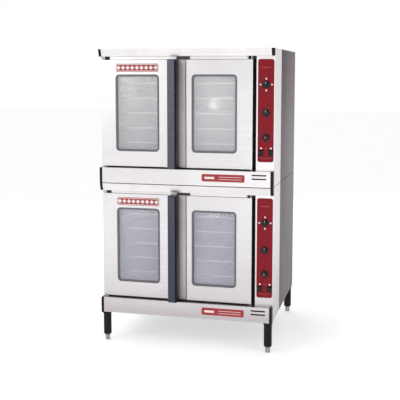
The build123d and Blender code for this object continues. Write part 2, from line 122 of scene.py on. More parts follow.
# %% Softboxes
def softbox(name, place, target, size, power):
    """A square lamp at place that faces target."""
    lamp = bpy.data.lights.new(name, "AREA")
    lamp.size = size
    lamp.energy = power
    holder = bpy.data.objects.new(name, lamp)
    bpy.context.scene.collection.objects.link(holder)
    holder.location = place
    aim = [t - p for t, p in zip(target, place)]
    flat = math.hypot(aim[0], aim[1])
    holder.rotation_euler = (math.atan2(flat, -aim[2]), 0, math.atan2(aim[1], aim[0]) - math.pi / 2)


softbox("key", (-2.4, -3.4, 2.6), (0, 0, 0.9), 2.6, 30)
softbox("fill", (0.6, -4.2, 0.9), (0, 0, 0.6), 2.0, 9)
softbox("flank", (3.0, -1.9, 1.6), (0.486, -0.3, 1.0), 1.6, 20)
softbox("glint", (-0.76, -4.42, 1.19), (0.16, -0.40, 1.34), 0.07, 0.6)
softbox("rear", (-1.6, 3.8, 2.3), (0, 0.4, 0.8), 2.4, 36)

# %% [markdown]
# ## Shared effects
# Three effects turn up in many finishes: the grain that a brushing belt leaves, the soft uneven
# patches of handling, and the fine speckle of enamel or powder paint. Each is one node group with
# its own inputs, so every material can set its scale. A group hands out only masks and heights;
# the shader itself stays in the material.


# %% A small kit for node groups
def new_group(name, inputs, outputs):
    """An empty shader group with float inputs (name, value), float outputs and a vector input."""
    group = bpy.data.node_groups.new(name, "ShaderNodeTree")
    group.interface.new_socket("Vector", in_out="INPUT", socket_type="NodeSocketVector")
    for label, value in inputs:
        socket = group.interface.new_socket(label, in_out="INPUT", socket_type="NodeSocketFloat")
        socket.default_value = value
    for label in outputs:
        group.interface.new_socket(label, in_out="OUTPUT", socket_type="NodeSocketFloat")
    entry = group.nodes.new("NodeGroupInput")
    leave = group.nodes.new("NodeGroupOutput")
    return group, entry, leave


def add_noise(group, detail, rough=0.5):
    noise = group.nodes.new("ShaderNodeTexNoise")
    noise.inputs["Detail"].default_value = detail
    noise.inputs["Roughness"].default_value = rough
    return noise


def add_ramp(group, low, high):
    """A map range that stretches low..high to 0..1 with soft ends."""
    ramp = group.nodes.new("ShaderNodeMapRange")
    ramp.interpolation_type = "SMOOTHSTEP"
    ramp.inputs["From Min"].default_value = low
    ramp.inputs["From Max"].default_value = high
    return ramp


# %% Brushed grain
grain, grain_in, grain_out = new_group("brushed grain", [("Density", 700.0)], ["Streaks", "Height"])
wide = add_noise(grain, 3.0)
fine = add_noise(grain, 5.0, 0.7)
ratio = grain.nodes.new("ShaderNodeMath")
ratio.operation = "MULTIPLY"
ratio.inputs[1].default_value = 0.12
grain.links.new(grain_in.outputs["Density"], ratio.inputs[0])
grain.links.new(ratio.outputs[0], wide.inputs["Scale"])
grain.links.new(grain_in.outputs["Density"], fine.inputs["Scale"])
grain.links.new(grain_in.outputs["Vector"], wide.inputs["Vector"])
grain.links.new(grain_in.outputs["Vector"], fine.inputs["Vector"])
blend = grain.nodes.new("ShaderNodeMath")
blend.operation = "MULTIPLY_ADD"
blend.inputs[1].default_value = 0.55
half_fine = grain.nodes.new("ShaderNodeMath")
half_fine.operation = "MULTIPLY"
half_fine.inputs[1].default_value = 0.45
grain.links.new(fine.outputs["Fac"], half_fine.inputs[0])
grain.links.new(wide.outputs["Fac"], blend.inputs[0])
grain.links.new(half_fine.outputs[0], blend.inputs[2])
spread = add_ramp(grain, 0.32, 0.68)
grain.links.new(blend.outputs[0], spread.inputs["Value"])
grain.links.new(spread.outputs["Result"], grain_out.inputs["Streaks"])
grain.links.new(blend.outputs[0], grain_out.inputs["Height"])

# %% Handling marks
marks, marks_in, marks_out = new_group("handling marks", [("Scale", 5.0)], ["Mask"])
patches = add_noise(marks, 4.0, 0.6)
patches.inputs["Distortion"].default_value = 0.6
marks.links.new(marks_in.outputs["Vector"], patches.inputs["Vector"])
marks.links.new(marks_in.outputs["Scale"], patches.inputs["Scale"])
soft = add_ramp(marks, 0.38, 0.66)
marks.links.new(patches.outputs["Fac"], soft.inputs["Value"])
marks.links.new(soft.outputs["Result"], marks_out.inputs["Mask"])

# %% Speckle
speckle, speckle_in, speckle_out = new_group(
    "speckle", [("Scale", 900.0), ("Amount", 0.2)], ["Specks", "Height"]
)
cells = speckle.nodes.new("ShaderNodeTexVoronoi")
ripple = add_noise(speckle, 2.0)
for texture in (cells, ripple):
    speckle.links.new(speckle_in.outputs["Vector"], texture.inputs["Vector"])
    speckle.links.new(speckle_in.outputs["Scale"], texture.inputs["Scale"])
near = speckle.nodes.new("ShaderNodeMath")
near.operation = "LESS_THAN"
speckle.links.new(cells.outputs["Distance"], near.inputs[0])
speckle.links.new(speckle_in.outputs["Amount"], near.inputs[1])
speckle.links.new(near.outputs[0], speckle_out.inputs["Specks"])
speckle.links.new(ripple.outputs["Fac"], speckle_out.inputs["Height"])


# %% [markdown]
# Paint and plastic wear first along their edges. The bevel node rounds the normal near an edge, so
# the angle between the rounded normal and the true one is large only there, and the mottled noise
# breaks the line up, as real wear is broken.

# %% Edge wear
wear, wear_in, wear_out = new_group("edge wear", [("Radius", 0.002), ("Amount", 0.5)], ["Mask"])
rounded = wear.nodes.new("ShaderNodeBevel")
rounded.samples = 4
true_way = wear.nodes.new("ShaderNodeNewGeometry")
turned_by = wear.nodes.new("ShaderNodeVectorMath")
turned_by.operation = "DOT_PRODUCT"
broken = add_noise(wear, 3.0, 0.6)
broken.inputs["Scale"].default_value = 90.0
edge_ramp = add_ramp(wear, 0.99, 0.86)
keep = wear.nodes.new("ShaderNodeMath")
keep.operation = "MULTIPLY"
scaled = wear.nodes.new("ShaderNodeMath")
scaled.operation = "MULTIPLY"
wear.links.new(wear_in.outputs["Radius"], rounded.inputs["Radius"])
wear.links.new(rounded.outputs["Normal"], turned_by.inputs[0])
wear.links.new(true_way.outputs["Normal"], turned_by.inputs[1])
wear.links.new(turned_by.outputs["Value"], edge_ramp.inputs["Value"])
wear.links.new(wear_in.outputs["Vector"], broken.inputs["Vector"])
wear.links.new(edge_ramp.outputs["Result"], keep.inputs[0])
wear.links.new(broken.outputs["Fac"], keep.inputs[1])
wear.links.new(keep.outputs[0], scaled.inputs[0])
wear.links.new(wear_in.outputs["Amount"], scaled.inputs[1])
wear.links.new(scaled.outputs[0], wear_out.inputs["Mask"])

# %% [markdown]
# ## Finishes
# A finish is a Principled shader fed by the shared groups. Object coordinates are used everywhere,
# so a pattern keeps its scale from piece to piece and moves with a door as it swings.


# %% A small kit for materials
class Finish:
    """A material with its Principled shader and the object coordinates at hand."""

    def __init__(self, name):
        self.material = bpy.data.materials.new(name)
        self.material.use_nodes = True
        self.tree = self.material.node_tree
        self.shader = self.tree.nodes["Principled BSDF"]
        self.coords = self.tree.nodes.new("ShaderNodeTexCoord")

    def set(self, **values):
        for key, value in values.items():
            self.shader.inputs[key.replace("_", " ")].default_value = value
        return self

    def link(self, output, node, key):
        self.tree.links.new(output, node.inputs[key])

    def stretched(self, scale):
        """Object coordinates squeezed by a different amount along each axis."""
        mapping = self.tree.nodes.new("ShaderNodeMapping")
        mapping.inputs["Scale"].default_value = scale
        self.link(self.coords.outputs["Object"], mapping, "Vector")
        return mapping.outputs["Vector"]

    def effect(self, group, vector, **values):
        node = self.tree.nodes.new("ShaderNodeGroup")
        node.node_tree = group
        self.link(vector, node, "Vector")
        for key, value in values.items():
            node.inputs[key].default_value = value
        return node

    def mix(self, mask, first, second):
        """A colour between two, each a colour or an output, by a mask."""
        node = self.tree.nodes.new("ShaderNodeMix")
        node.data_type = "RGBA"
        self.tree.links.new(mask, node.inputs[0])
        for index, value in ((6, first), (7, second)):
            if isinstance(value, tuple):
                node.inputs[index].default_value = (*value, 1)
            else:
                self.tree.links.new(value, node.inputs[index])
        return node.outputs[2]

    def span(self, mask, low, high):
        """A number that runs from low to high as the mask runs from 0 to 1."""
        node = self.tree.nodes.new("ShaderNodeMapRange")
        node.inputs["To Min"].default_value = low
        node.inputs["To Max"].default_value = high
        self.link(mask, node, "Value")
        return node.outputs["Result"]

    def beyond(self, axis, start, end):
        """A mask that runs from 0 at start to 1 at end along one object axis."""
        split = self.tree.nodes.new("ShaderNodeSeparateXYZ")
        self.link(self.coords.outputs["Object"], split, 0)
        node = self.tree.nodes.new("ShaderNodeMapRange")
        node.interpolation_type = "SMOOTHSTEP"
        node.inputs["From Min"].default_value = start
        node.inputs["From Max"].default_value = end
        self.link(split.outputs[axis], node, "Value")
        return node.outputs["Result"]

    def bump(self, height, strength, distance):
        node = self.tree.nodes.new("ShaderNodeBump")
        node.inputs["Strength"].default_value = strength
        node.inputs["Distance"].default_value = distance
        self.link(height, node, "Height")
        self.link(node.outputs["Normal"], self.shader, "Normal")

    def colour(self, output):
        self.link(output, self.shader, "Base Color")

    def rough(self, output):
        self.link(output, self.shader, "Roughness")


def steel(name, bright, dull, rough, stretch, density=700.0, metallic=1.0, dirt=0.5, turn_at=None):
    """Brushed sheet steel: grain in its colour, gloss and surface, with soft handling patches.

    Where the sheet is folded round a corner, turn_at is the X past which the grain runs front to
    back, because a brushed sheet keeps its grain as it goes round the fold.
    """
    finish = Finish(name).set(Metallic=metallic)
    vector = finish.stretched(stretch)
    if turn_at is not None:
        fold = finish.tree.nodes.new("ShaderNodeMix")
        fold.data_type = "VECTOR"
        finish.fold_mask = finish.beyond("X", turn_at, turn_at + 0.0008)
        finish.tree.links.new(finish.fold_mask, fold.inputs[0])
        finish.tree.links.new(vector, fold.inputs[4])
        finish.tree.links.new(finish.stretched((1, stretch[0], 1)), fold.inputs[5])
        vector = fold.outputs[1]
    lines = finish.effect(grain, vector, Density=density)
    hands = finish.effect(marks, finish.coords.outputs["Object"], Scale=5.0)
    base = finish.mix(lines.outputs["Streaks"], dull, bright)
    worn = tuple(c * (1 - 0.14 * dirt) for c in dull)
    faded = finish.span(hands.outputs["Mask"], 0.0, dirt)
    finish.colour(finish.mix(faded, base, worn))
    finish.rough(finish.span(lines.outputs["Streaks"], rough + 0.06, rough - 0.06))
    finish.bump(lines.outputs["Height"], 0.04, 0.0003)
    return finish


def paint(name, light, dark, rough, scale=900.0, coat=0.0, amount=0.18, bump=0.15, shine=0.5):
    """Enamel or powder paint: a fine speckle, an uneven gloss and slight orange peel."""
    finish = Finish(name).set(Coat_Weight=coat, Coat_Roughness=0.12, Specular_IOR_Level=shine)
    dots = finish.effect(speckle, finish.coords.outputs["Object"], Scale=scale, Amount=amount)
    hands = finish.effect(marks, finish.coords.outputs["Object"], Scale=7.0)
    finish.colour(finish.mix(finish.span(dots.outputs["Specks"], 0.0, 1.0), dark, light))
    finish.rough(finish.span(hands.outputs["Mask"], rough - 0.05, rough + 0.09))
    finish.bump(dots.outputs["Height"], bump, 0.0003)
    return finish


# %% Steels
# Front sheets are brushed from side to side, so the grain is stretched along X.
door_steel = steel("door steel", (0.83, 0.81, 0.82), (0.785, 0.765, 0.775), 0.32, (0.02, 1, 1))
trim_steel = steel("trim steel", (0.80, 0.785, 0.79), (0.74, 0.72, 0.73), 0.32, (0.02, 1, 1))
# The flank steel is much darker and less metallic than the front steel; part of that darkness is
# painted shade for the dim room on the control side.
shaded_flank_steel = steel(
    "shaded flank steel", (0.33, 0.29, 0.305), (0.285, 0.25, 0.265), 0.46, (1, 1, 0.02), metallic=0.6
)
shaded_flank_steel.set(Specular_IOR_Level=0.2)
back_steel = steel("back steel", (0.60, 0.59, 0.60), (0.53, 0.52, 0.53), 0.40, (0.02, 1, 1))
frame_steel = steel("base frame steel", (0.42, 0.42, 0.43), (0.30, 0.30, 0.31), 0.45, (1, 0.05, 1))
nickel = steel(
    "nickel wire", (0.93, 0.92, 0.91), (0.80, 0.79, 0.78), 0.24, (1, 0.05, 1), 500.0, 0.8
)
foot_nickel = steel("foot nickel", (0.46, 0.45, 0.45), (0.30, 0.29, 0.29), 0.26, (1, 1, 0.1))
wheel_metal = steel("blower metal", (0.66, 0.66, 0.66), (0.50, 0.50, 0.50), 0.36, (1, 0.1, 1))
element_metal = steel("element sheath", (0.22, 0.19, 0.17), (0.12, 0.10, 0.10), 0.45, (0.2, 1, 0.2))
screw_zinc = steel("zinc screw", (0.74, 0.73, 0.70), (0.55, 0.54, 0.52), 0.30, (1, 1, 1), 1500.0)

# %% [markdown]
# The control housing is one folded sheet. Its flank is painted pale and nearly non-metallic, a
# painted highlight for the room light that falls on it; a mask along X picks out that one face.

# %% Housing steel
def tint(finish, mask, other):
    """Blend the base colour that a finish has already towards another colour by a mask."""
    held = finish.shader.inputs["Base Color"].links[0].from_socket
    finish.colour(finish.mix(mask, held, other))


housing_steel = steel(
    "housing steel", (0.80, 0.78, 0.79), (0.75, 0.73, 0.74), 0.32, (0.02, 1, 1), turn_at=0.4838
)
# Painted highlight on the housing flank.
tint(housing_steel, housing_steel.span(housing_steel.fold_mask, 0.0, 0.8), (0.98, 0.94, 0.96))
housing_steel.link(
    housing_steel.span(housing_steel.fold_mask, 1.0, 0.1), housing_steel.shader, "Metallic"
)
housing_steel.link(
    housing_steel.span(housing_steel.fold_mask, 0.3, 0.55), housing_steel.shader, "Roughness"
)
soft_bump = housing_steel.shader.inputs["Normal"].links[0].from_node
soft_bump.inputs["Strength"].default_value = 0.02

# %% [markdown]
# Painted shade: the flanks are painted darker towards the doors and towards the floor, and every
# front sheet is painted darker near the floor, for the shade and dimmer reflections that fall
# there.

# %% Painted shade on the sheets
front_shade_mask = shaded_flank_steel.span(shaded_flank_steel.beyond("Y", 0.32, -0.17), 0.0, 0.75)
tint(shaded_flank_steel, front_shade_mask, (0.09, 0.065, 0.075))
floor_shade_mask = shaded_flank_steel.span(shaded_flank_steel.beyond("Z", 1.4, 0.2), 0.0, 0.75)
tint(shaded_flank_steel, floor_shade_mask, (0.06, 0.045, 0.05))
for front_steel in (door_steel, trim_steel, housing_steel):
    low_shade_mask = front_steel.span(front_steel.beyond("Z", 0.8, 0.1), 0.0, 0.55)
    tint(front_steel, low_shade_mask, (0.42, 0.38, 0.40))
# Painted shade: the base trim darker still towards its foot.
tint(
    trim_steel,
    trim_steel.span(trim_steel.beyond("Z", 0.262, 0.165), 0.0, 0.42),
    (0.36, 0.32, 0.34),
)
# Painted shade: the doors darker towards the control side.
tint(
    door_steel,
    door_steel.span(door_steel.beyond("X", -0.30, 0.20), 0.0, 0.45),
    (0.55, 0.54, 0.56),
)

# %% Centre channel steel
# The strip between the doors is a formed channel, painted darker and warmer as painted shade on it.
shaded_channel_steel = steel(
    "shaded channel steel", (0.56, 0.50, 0.52), (0.50, 0.445, 0.465), 0.42, (1, 1, 0.02), 500.0, 0.8
)

# %% Paints and plastics
black_paint = paint(
    "black satin paint", (0.013, 0.012, 0.015), (0.008, 0.008, 0.010), 0.45, shine=0.16
)
red_paint = paint(
    "red control panel", (0.255, 0.010, 0.020), (0.215, 0.006, 0.014), 0.42, 700.0, shine=0.16
)
plate_red = paint("red plate", (0.40, 0.050, 0.055), (0.34, 0.035, 0.040), 0.38, 800.0, shine=0.3)
# The cavity enamel is painted pale, partly as painted light standing in for light in the cavity.
liner_enamel = paint("cavity enamel", (0.66, 0.70, 0.74), (0.50, 0.53, 0.57), 0.34, 260.0, 0.3)
motor_paint = paint("motor paint", (0.11, 0.12, 0.13), (0.07, 0.075, 0.085), 0.5)
black_plastic = paint(
    "black plastic", (0.014, 0.011, 0.013), (0.008, 0.007, 0.008), 0.36, 1600.0, shine=0.3
)
rubber = paint("seal rubber", (0.19, 0.19, 0.215), (0.14, 0.14, 0.16), 0.6, 1400.0, shine=0.25)
# Painted shadow: the dark colour of the bead at the centre channel's edge.
shadow_bead_rubber = paint("shadow bead rubber", (0.10, 0.075, 0.08), (0.07, 0.05, 0.055), 0.6, 1400.0, shine=0.2)
print_white = paint("pale print", (0.90, 0.84, 0.82), (0.82, 0.74, 0.72), 0.5, 1500.0)
print_faint = paint("faint print", (0.42, 0.11, 0.12), (0.36, 0.08, 0.09), 0.5, 1500.0)
wool = paint("mineral wool", (0.62, 0.55, 0.30), (0.42, 0.37, 0.20), 0.9, 350.0, 0.0, 0.4, 0.8)

# %% [markdown]
# The front rail of every rack is painted white and non-metallic as a painted highlight, with its
# left ends kept dull as painted shade; the wires behind it stay dull steel. The rail lies along one
# line, so a mask along Y parts the two.

# %% Rack wire
rack_wire = steel(
    "rack wire", (0.46, 0.46, 0.48), (0.36, 0.36, 0.38), 0.34, (1, 0.05, 1), 500.0, 0.8
)
rail_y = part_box("racks")[0][1]
rail_highlight_mask = rack_wire.beyond("Y", rail_y + 0.012, rail_y + 0.009)
highlight_reach_mask = rack_wire.beyond("X", -0.362, -0.345)
both = rack_wire.tree.nodes.new("ShaderNodeMath")
both.operation = "MULTIPLY"
rack_wire.tree.links.new(rail_highlight_mask, both.inputs[0])
rack_wire.tree.links.new(highlight_reach_mask, both.inputs[1])
rail_highlight_mask = both.outputs[0]
print("front rail at", rail_y)
# Painted highlight on the front rail, painted shade at its left ends.
tint(rack_wire, rail_highlight_mask, (1.0, 1.0, 1.0))
rack_wire.link(rack_wire.span(rail_highlight_mask, 0.9, 0.0), rack_wire.shader, "Metallic")

# %% [markdown]
# Hinge blocks sit in the strip over the doors. Only their outer ends are blackened castings; the
# plate between them is grey steel. A ramp along X gives each length its own colour.

# %% Hinge block finish
hinge_finish = paint("hinge block", (0.5, 0.5, 0.5), (0.5, 0.5, 0.5), 0.45, shine=0.2)
across = hinge_finish.beyond("X", -0.5, 0.5)
along = across.node
along.interpolation_type = "LINEAR"
bands = hinge_finish.tree.nodes.new("ShaderNodeValToRGB")
bands.color_ramp.interpolation = "CONSTANT"
plain, grey, dark = (0.62, 0.60, 0.61, 1), (0.075, 0.065, 0.07, 1), (0.012, 0.011, 0.013, 1)
stops = (
    (0.042, dark),
    (0.076, plain),
    (0.444, grey),
    (0.53, plain),
    (0.842, dark),
    (0.856, plain),
    (0.864, dark),
)
bands.color_ramp.elements[0].color = plain
bands.color_ramp.elements[1].position = 0.999
bands.color_ramp.elements[1].color = dark
for position, shade in stops:
    bands.color_ramp.elements.new(position).color = shade
hinge_finish.link(across, bands, "Fac")
stain = hinge_finish.effect(marks, hinge_finish.coords.outputs["Object"], Scale=30.0)
hinge_finish.colour(bands.outputs["Color"])
tint(hinge_finish, hinge_finish.span(stain.outputs["Mask"], 0.0, 0.3), (0.02, 0.02, 0.02))

# %% [markdown]
# The door handle is pressed steel with a fired blue-black enamel facing. The facing is painted
# darker towards its foot, as painted shade.

# %% Handle enamel
handle_enamel = paint(
    "handle enamel", (0.118, 0.118, 0.160), (0.100, 0.100, 0.140), 0.30, 700.0, 0.0, 0.2, 0.06, 0.35
)
# Painted shade: darker towards the bottom.
tint(handle_enamel, handle_enamel.beyond("Z", 1.75, 0.25), (0.034, 0.037, 0.068))
handle_black = paint(
    "handle black", (0.008, 0.007, 0.010), (0.005, 0.005, 0.007), 0.36, 900.0, shine=0.14
)

# %% [markdown]
# Black parts that hands, boots and trays knock show a little grey metal along their edges.

# %% Worn edges
for worn, amount in ((black_paint, 0.5), (handle_black, 0.25), (handle_enamel, 0.35)):
    mask = worn.effect(wear, worn.coords.outputs["Object"], Radius=0.0015, Amount=amount)
    tint(worn, mask.outputs["Mask"], (0.22, 0.21, 0.22))

# %% [markdown]
# Oven glass is two toughened panes. Seen against a bright room each pane adds a pale veil, so the
# racks show only as light lines. The veil is a painted reflection: a pale colour at low alpha with
# a faint mottle in it, paler on the upper windows than on the lower. The low alpha still lets the
# light of the room reach the cavity.

# %% Glass
glass = Finish("oven glass").set(Roughness=0.075, IOR=1.5)
film = glass.effect(marks, glass.coords.outputs["Object"], Scale=4.0)
glass.link(glass.span(film.outputs["Mask"], 0.18, 0.22), glass.shader, "Alpha")
# Painted reflection, paler on the upper windows than on the lower.
glass.colour(glass.mix(glass.beyond("Z", 0.7, 1.2), (0.76, 0.77, 0.88), (0.97, 0.97, 1.0)))
lamp_glass = Finish("lamp lens").set(Roughness=0.2, Base_Color=(0.95, 0.93, 0.88, 1))
lamp_glass.set(Emission_Strength=34.0)
ribs = lamp_glass.effect(grain, lamp_glass.stretched((1, 0.05, 1)), Density=400.0)
glow = lamp_glass.mix(ribs.outputs["Streaks"], (1.0, 0.93, 0.82), (0.92, 0.82, 0.70))
lamp_glass.link(glow, lamp_glass.shader, "Emission Color")


# %% [markdown]
# ## Finishes on the CAD nodes
# The sheet metal, doors, seals, racks and legs have their true shape already, so each node keeps
# its mesh and only its material slots change.


# %% Assign finishes
def coat(obj, finish):
    obj.data.materials.clear()
    obj.data.materials.append(finish.material)


by_node = {
    "left_side_panels": shaded_flank_steel,
    "right_side_panels": shaded_flank_steel,
    "top_panels": back_steel,
    "back_panels": back_steel,
    "motor_covers": back_steel,
    "top_trims": trim_steel,
    "base_trims": trim_steel,
    "header_strips": trim_steel,
    "control_housings": housing_steel,
    "control_panels": red_paint,
    "cavity_liners": liner_enamel,
    "fan_baffles": liner_enamel,
    "face_frames": black_paint,
    "hinge_brackets": hinge_finish,
    "trim_end_caps": black_paint,
    "legs": black_paint,
    "base_frames": frame_steel,
    "rack_guides": nickel,
    "racks": rack_wire,
    "heating_elements": element_metal,
    "oven_lamps": lamp_glass,
    "insulation": wool,
    "blower_motors": motor_paint,
    "leveling_feet": foot_nickel,
    "switch_bodies": black_plastic,
    "door_gaskets": rubber,
    "nameplates": plate_red,
}
by_ending = {
    "door_shell": door_steel,
    "door_liner": door_steel,
    "window_glass": glass,
    "window_gasket": rubber,
    "door_handle": handle_black,
    "door_badge": plate_red,
    "knob": black_plastic,
    "rocker": black_plastic,
    "blower_wheel": wheel_metal,
}
for name, obj in nodes.items():
    ending = next((e for e in by_ending if name.endswith(e)), None)
    coat(obj, by_node[name] if name in by_node else by_ending[ending])
print("finished", len(nodes), "nodes")


# %% [markdown]
# ## Tools for new pieces
# New pieces are shaped with the same operators that the menus run. Three habits keep them clean:
# nothing stays selected before a primitive is added, faces are picked by where they are or which
# way they face, and the finished piece has its place in its mesh with its object at the origin.


# %% Modelling kit
def deselect_all():
    for obj in list(bpy.context.selected_objects):
        obj.select_set(False)
    bpy.context.view_layer.objects.active = None


def make_active(obj):
    deselect_all()
    obj.select_set(True)
    bpy.context.view_layer.objects.active = obj


def apply_place(obj):
    make_active(obj)
    bpy.ops.object.transform_apply(location=True, rotation=True, scale=True)
    return obj


def block(name, low, high):
    """A cube primitive stretched between two corners."""
    deselect_all()
    middle = [(a + b) / 2 for a, b in zip(low, high)]
    size = [b - a for a, b in zip(low, high)]
    bpy.ops.mesh.primitive_cube_add(size=1, location=middle, scale=size)
    obj = bpy.context.object
    obj.name = name
    return apply_place(obj)


def drum(name, centre, radius, depth, sides=48):
    """A cylinder primitive that lies front to back, centred at a place."""
    deselect_all()
    bpy.ops.mesh.primitive_cylinder_add(
        vertices=sides, radius=radius, depth=depth, location=centre, rotation=(math.pi / 2, 0, 0)
    )
    obj = bpy.context.object
    obj.name = name
    return apply_place(obj)


def pick(obj, test, kind="FACE"):
    """Enter edit mode with only the faces or edges that pass the test selected."""
    make_active(obj)
    bpy.ops.object.mode_set(mode="EDIT")
    bpy.ops.mesh.select_mode(type=kind)
    bpy.ops.mesh.select_all(action="DESELECT")
    bpy.ops.object.mode_set(mode="OBJECT")
    group = obj.data.polygons if kind == "FACE" else obj.data.edges
    for element in group:
        element.select = bool(test(element))
    bpy.ops.object.mode_set(mode="EDIT")


def leave_edit():
    bpy.ops.object.mode_set(mode="OBJECT")


def ends(obj, edge):
    a, b = (obj.data.vertices[i].co for i in edge.vertices)
    return a, b


def soften(obj, width, segments=3, angle=35):
    """Round every edge sharper than the angle with an applied bevel, and smooth the shading."""
    make_active(obj)
    bpy.ops.object.modifier_add(type="BEVEL")
    bevel = obj.modifiers[-1]
    bevel.width = width
    bevel.segments = segments
    bevel.limit_method = "ANGLE"
    bevel.angle_limit = math.radians(angle)
    bpy.ops.object.modifier_apply(modifier=bevel.name)
    bpy.ops.object.shade_smooth_by_angle(angle=math.radians(35))
    return obj


def copy_to(obj, name, offset):
    """A copy with its own mesh, moved by an offset that is applied."""
    twin = obj.copy()
    twin.data = obj.data.copy()
    twin.name = name
    bpy.context.scene.collection.objects.link(twin)
    twin.location = offset
    return apply_place(twin)


def join(pieces, name):
    deselect_all()
    for piece in pieces:
        piece.select_set(True)
    bpy.context.view_layer.objects.active = pieces[0]
    if len(pieces) > 1:
        bpy.ops.object.join()
    pieces[0].name = name
    return pieces[0]


def discard(obj):
    bpy.data.objects.remove(obj)


def settle(obj, body, finish):
    """Give a finished piece its finish and the body it moves with."""
    coat(obj, finish)
    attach(obj, body)
    return obj


def centre_of(node):
    low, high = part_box(node)
    return [(a + b) / 2 for a, b in zip(low, high)]


# %% [markdown]
# ## Two equal sections
# The upper oven is the lower one again. Each piece is therefore modelled once, on the lower
# section, and copied up by the height of one section with a mesh of its own.

# %% Repeat upstairs
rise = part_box("upper_door_badge")[0][2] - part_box("lower_door_badge")[0][2]


def both(piece, name, body, slot, finish, node=None):
    """Settle a lower piece and its upper copy; name, body and node lack their section."""
    twin = copy_to(piece, "upper_" + name, (0, 0, rise))
    for section, made in (("lower", piece), ("upper", twin)):
        made.name = f"{section}_{name}"
        if node:
            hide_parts(f"{section}_{node}")
        settle(made, body if body == "oven_body" else f"{section}_{body}", finish)


def facing_front(face):
    return face.normal.y < -0.9


print("section step", round(rise, 4))

# %% [markdown]
# ## Door handles
# Each handle is a tall bar that covers the gap between the doors: a black channel with an enamelled
# facing sprung into its front. The bar starts as a block whose two front edges are rounded more
# than the rest. Three short feet carry it; one is modelled and copied.

# %% Handle channel
low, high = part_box("lower_door_handle")
back = low[1] + 50 * MM
face_y = low[1] + 1.6 * MM
bar = block("bar", (low[0], face_y, low[2]), (high[0], back, high[2]))


def front_upright(edge):
    a, b = ends(bar, edge)
    return abs(a.z - b.z) > 0.1 and a.y < face_y + MM


pick(bar, front_upright, "EDGE")
bpy.ops.mesh.bevel(offset=6 * MM, segments=6)
leave_edit()
soften(bar, 1.2 * MM, 3)
foot = block("foot", (low[0] + MM, back - 2 * MM, -12 * MM), (low[0] + 20 * MM, high[1], 12 * MM))
soften(foot, 1.5 * MM, 2)
feet = []
for share in (0.08, 0.5, 0.92):
    feet.append(copy_to(foot, "foot", (0, 0, low[2] + share * (high[2] - low[2]))))
discard(foot)
bar = join([bar, *feet], "bar")
both(bar, "handle_channel", "left_door", "handle_enamel", handle_black, "door_handle")

# %% [markdown]
# The facing is a second block with a crowned front: its front face is inset and the inner face
# brought forward, so the long edges slope like a pressed cover.

# %% Handle facing
facing = block(
    "facing",
    (low[0] + 3 * MM, low[1] + MM, low[2] + 3 * MM),
    (high[0] - 9 * MM, face_y + 2 * MM, high[2] - 3 * MM),
)
pick(facing, facing_front)
bpy.ops.mesh.inset(thickness=5 * MM)
bpy.ops.transform.translate(value=(0, -MM, 0))
leave_edit()
soften(facing, 0.8 * MM, 3, 8)
both(facing, "handle_facing", "left_door", "handle_enamel", handle_enamel)

# %% [markdown]
# ## Centre channels
# The free edge of each right-hand door carries a formed channel that the handle half hides. It is
# a long strip with two shallow grooves, so a block is cut lengthwise by bisecting it, and the
# fields between the cuts are pushed in. A dark bead along its right-hand edge is painted shadow.

# %% Centre channel
low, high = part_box("lower_right_door_shell")
channel_wide = 59.5 * MM
channel_back = -407.1 * MM
tall = (low[2] + 23 * MM, high[2] - 15 * MM)
channel = block(
    "channel",
    (low[0], channel_back - 1.2 * MM, tall[0]),
    (low[0] + channel_wide - 0.6 * MM, channel_back, tall[1]),
)
for share in (0.40, 0.46, 0.80, 0.86):
    pick(channel, lambda face: True)
    bpy.ops.mesh.bisect(plane_co=(low[0] + share * channel_wide, 0, 0), plane_no=(1, 0, 0))
    leave_edit()


def in_groove(face):
    share = (face.center.x - low[0]) / channel_wide
    return facing_front(face) and min(abs(share - 0.43), abs(share - 0.83)) < 0.02


pick(channel, in_groove)
bpy.ops.transform.translate(value=(0, 0.8 * MM, 0))
leave_edit()
soften(channel, 0.3 * MM, 2)
both(channel, "centre_channel", "right_door", "stainless_door", shaded_channel_steel)

# %% Channel shadow bead
# Painted shadow: a dark bead for the shade of the step at the channel's right-hand edge.
shadow_bead = block(
    "shadow_bead",
    (low[0] + channel_wide - 4 * MM, channel_back - 2 * MM, tall[0]),
    (low[0] + channel_wide - 0.4 * MM, channel_back - 0.2 * MM, tall[1]),
)
pick(shadow_bead, facing_front)
bpy.ops.mesh.inset(thickness=0.9 * MM)
bpy.ops.transform.translate(value=(0, -0.6 * MM, 0))
leave_edit()
soften(shadow_bead, 0.3 * MM, 2, 20)
both(shadow_bead, "channel_shadow_bead", "right_door", "gasket_rubber", shadow_bead_rubber)
print("channel height", round(tall[1] - tall[0], 3))

# %% [markdown]
# ## Knobs
# A moulded oven knob is a skirt with a fluted drum on it. The drum grows out of the skirt's front
# face by inset and extrude, groups of side faces are pressed in as flutes, and a last inset makes
# the dished front. One knob is modelled at the origin and copied to every shaft.

# %% Fluted knob
knob = drum("knob", (0, -15 * MM, 0), 20 * MM, 5 * MM, 48)
pick(knob, facing_front)
bpy.ops.mesh.inset(thickness=2 * MM)
bpy.ops.transform.translate(value=(0, -1.0 * MM, 0))
bpy.ops.mesh.inset(thickness=2.5 * MM)
bpy.ops.mesh.extrude_region_move(TRANSFORM_OT_translate={"value": (0, -11 * MM, 0)})
bpy.ops.transform.resize(value=(0.93, 1, 0.93))
bpy.ops.mesh.inset(thickness=1.6 * MM)
bpy.ops.transform.translate(value=(0, -0.8 * MM, 0))
bpy.ops.mesh.inset(thickness=1.4 * MM)
bpy.ops.transform.translate(value=(0, 0.9 * MM, 0))
leave_edit()


def flute(face):
    if abs(face.normal.y) > 0.3 or face.center.y > -20 * MM:
        return False
    turn = math.degrees(math.atan2(face.center.z, face.center.x)) % 360
    return int(turn / 7.5) % 4 in (0, 1)


